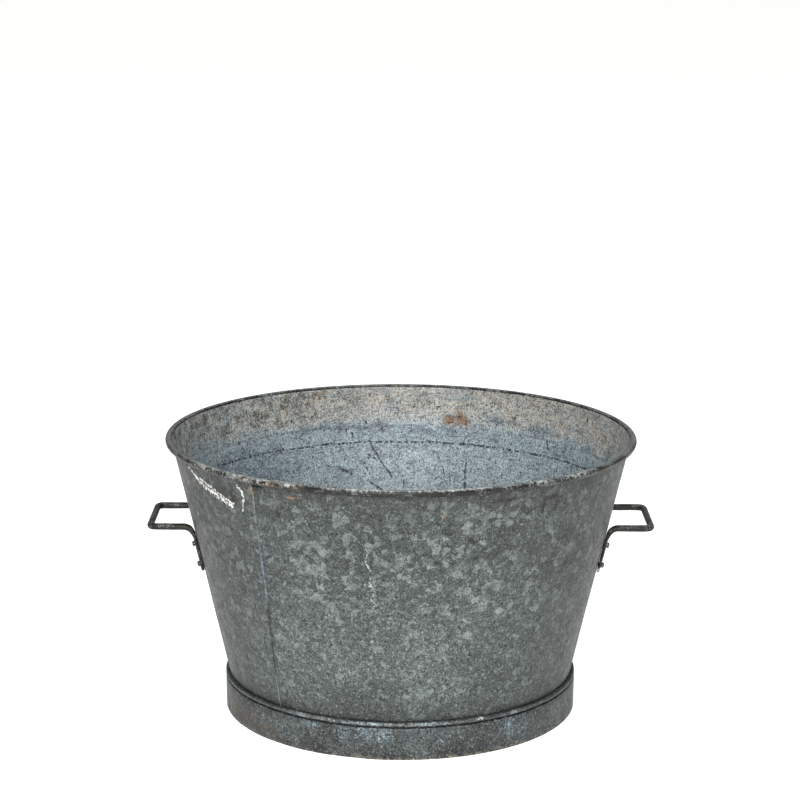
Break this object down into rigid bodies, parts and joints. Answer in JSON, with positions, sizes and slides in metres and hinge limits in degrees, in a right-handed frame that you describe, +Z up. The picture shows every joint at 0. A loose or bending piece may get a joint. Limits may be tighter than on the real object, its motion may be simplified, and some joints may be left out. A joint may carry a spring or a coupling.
{
  "type": "florist bucket",
  "caption": "Wide, low, round galvanised steel tub with a wired rim, lapped wall seams, a foot ring and a rigid bar handle riveted to each side, used to hold cut flowers or plants.",
  "frame": {"origin": "on the floor, under the centre of the tub: the middle of the underside of the foot ring", "axes": "+X through the middle of the right handle, -Y towards the front, +Z up along the axis of the tub"},
  "size_m": [0.644, 0.5998, 0.357],
  "materials": {
    "wall_steel": "old hot-dip galvanising, matt grey with a faint paler spangle, stained inside",
    "rim_wire_steel": "galvanised wire, hidden in the rolled rim",
    "bottom_steel": "old galvanising, water stained",
    "foot_ring_steel": "old galvanising, with rust and grime along the lower edge",
    "handle_steel": "dark, worn, forged round bar",
    "rivet_steel": "dull steel rivet heads"
  },
  "bodies": {
    "root": {"wall_panel_front": "wall_steel", "wall_panel_back": "wall_steel", "rim_wire": "rim_wire_steel", "bottom_disc": "bottom_steel", "foot_ring": "foot_ring_steel", "handle_right": "handle_steel", "handle_left": "handle_steel", "rivet_right_1": "rivet_steel", "rivet_right_2": "rivet_steel", "rivet_right_3": "rivet_steel", "rivet_right_4": "rivet_steel", "rivet_left_1": "rivet_steel", "rivet_left_2": "rivet_steel", "rivet_left_3": "rivet_steel", "rivet_left_4": "rivet_steel"}
  },
  "joints": []
}
